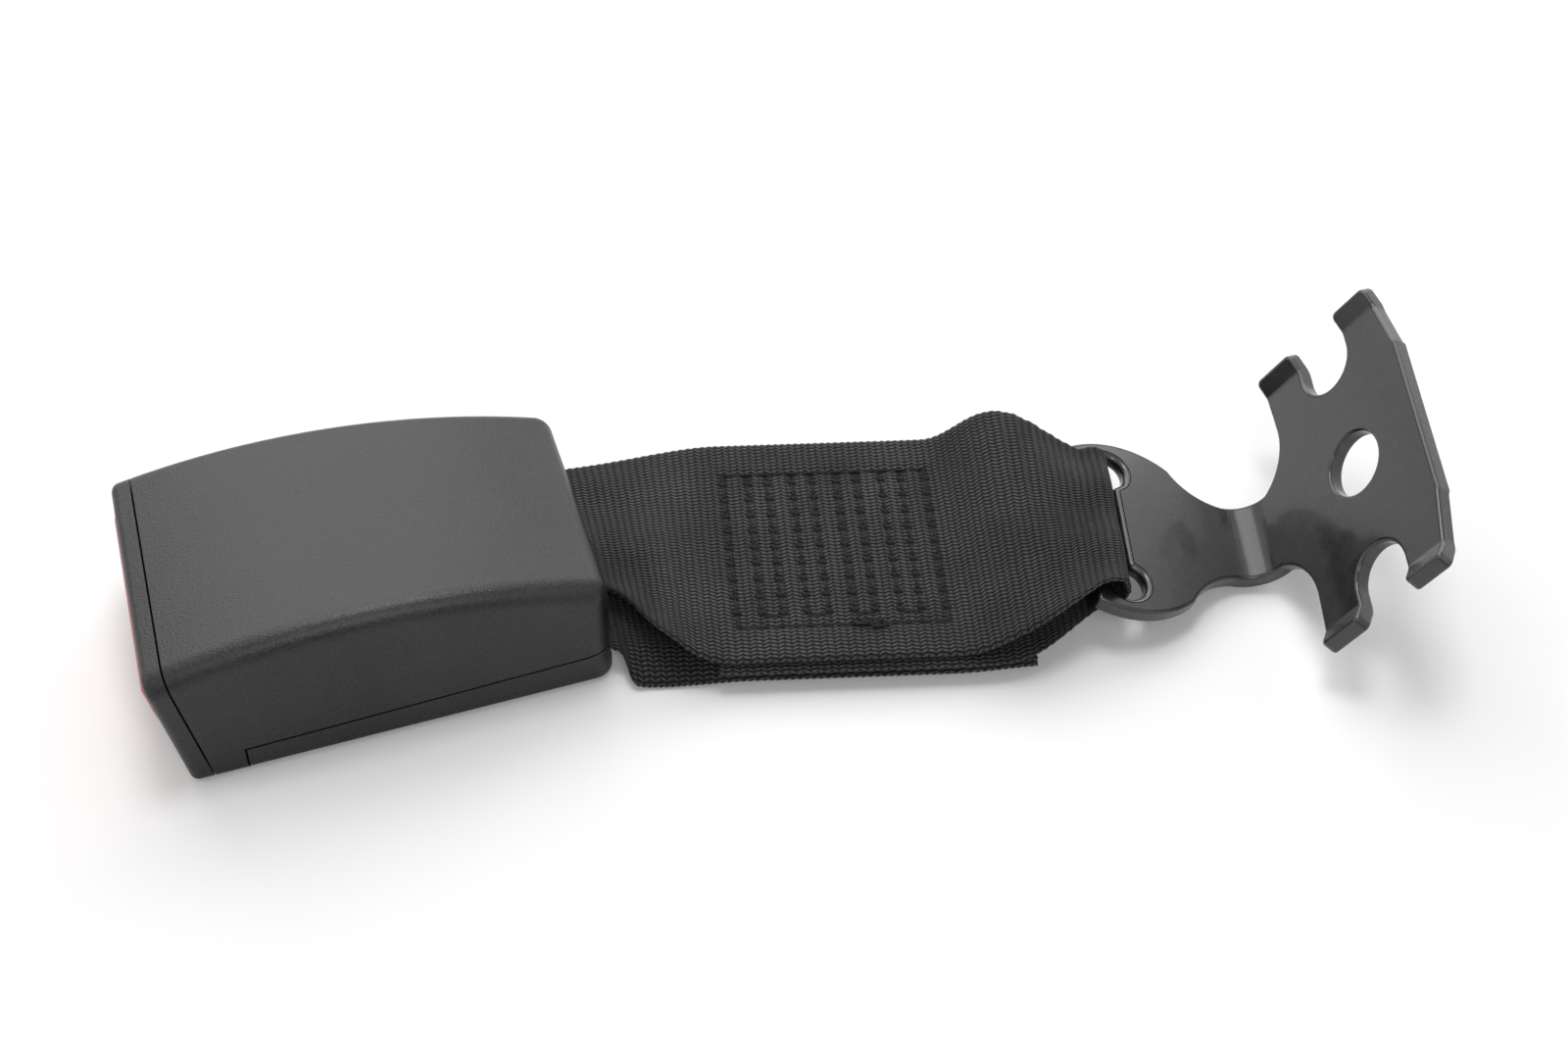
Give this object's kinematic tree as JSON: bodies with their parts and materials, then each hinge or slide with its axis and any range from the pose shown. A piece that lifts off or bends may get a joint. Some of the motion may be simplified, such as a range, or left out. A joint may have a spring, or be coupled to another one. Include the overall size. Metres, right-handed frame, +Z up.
{
  "type": "seat belt buckle",
  "caption": "Push-release seat belt buckle with a black moulded housing and red button, on a short sewn webbing strap that loops a bent steel floor bracket with a bolt hole.",
  "frame": {"origin": "middle of the flat foot under the housing, on the surface that the buckle lies on", "axes": "+X from the button end of the housing towards the floor bracket, +Y across the housing, +Z up out of the foot"},
  "size_m": [0.2179, 0.0935, 0.0435],
  "materials": {
    "cover_plastic": "fine moulded grain, satin black",
    "guide_plastic": "smooth moulded black",
    "button_plastic": "semi-gloss red",
    "frame_steel": "zinc plated pressing",
    "pin_steel": "ground bright",
    "spring_steel": "drawn wire",
    "coated_steel": "glossy black dipped coating",
    "webbing_black": "ribbed woven polyester",
    "thread_dark": "bonded sewing thread"
  },
  "bodies": {
    "housing": {"front_bezel": "cover_plastic", "upper_cover": "cover_plastic", "lower_cover": "cover_plastic", "mouth_guide": "guide_plastic", "frame_channel": "frame_steel", "frame_bridge": "frame_steel", "latch_pivot_pin": "pin_steel", "pivot_clips": "spring_steel", "latch_spring": "spring_steel", "ejector_spring": "spring_steel", "button_spring_left": "spring_steel", "button_spring_right": "spring_steel"},
    "button": {"press_button": "button_plastic", "lock_pin": "pin_steel", "lock_slider": "guide_plastic"},
    "latch": {"latch": "frame_steel"},
    "ejector": {"ejector": "guide_plastic"},
    "strap": {"webbing": "webbing_black", "stitch_rows_top": "thread_dark", "stitch_rows_under": "thread_dark"},
    "bracket": {"anchor_bracket": "coated_steel"}
  },
  "joints": [
    {"name": "button_press", "type": "slide", "parent": "housing", "child": "button", "axis": [1, 0, 0], "range_m": [0, 0.005], "stiffness_N_per_m": 600, "springref_m": -0.003, "deforming": ["button_spring_left", "button_spring_right"]},
    {"name": "ejector_slide", "type": "slide", "parent": "housing", "child": "ejector", "axis": [1, 0, 0], "range_m": [0, 0.008], "stiffness_N_per_m": 300, "springref_m": -0.003, "deforming": ["ejector_spring"]},
    {"name": "latch_pivot", "type": "hinge", "parent": "housing", "child": "latch", "pos_m": [0.012, 0, 0.0152], "axis": [0, -1, 0], "range_deg": [0, 12], "deforming": ["latch_spring"]},
    {"name": "strap_swing", "type": "hinge", "parent": "housing", "child": "strap", "pos_m": [0.029, 0, 0.00915], "axis": [0, -1, 0], "range_deg": [-6, 10]},
    {"name": "bracket_swing", "type": "hinge", "parent": "strap", "child": "bracket", "pos_m": [0.12339, -0.02441, 0.0124], "axis": [0.2224, 0.9632, 0.1513], "range_deg": [-30, 30]}
  ],
  "couplings": [
    {"joint": "latch_pivot", "follows": "ejector_slide", "rad_per_m": 26.17}
  ]
}
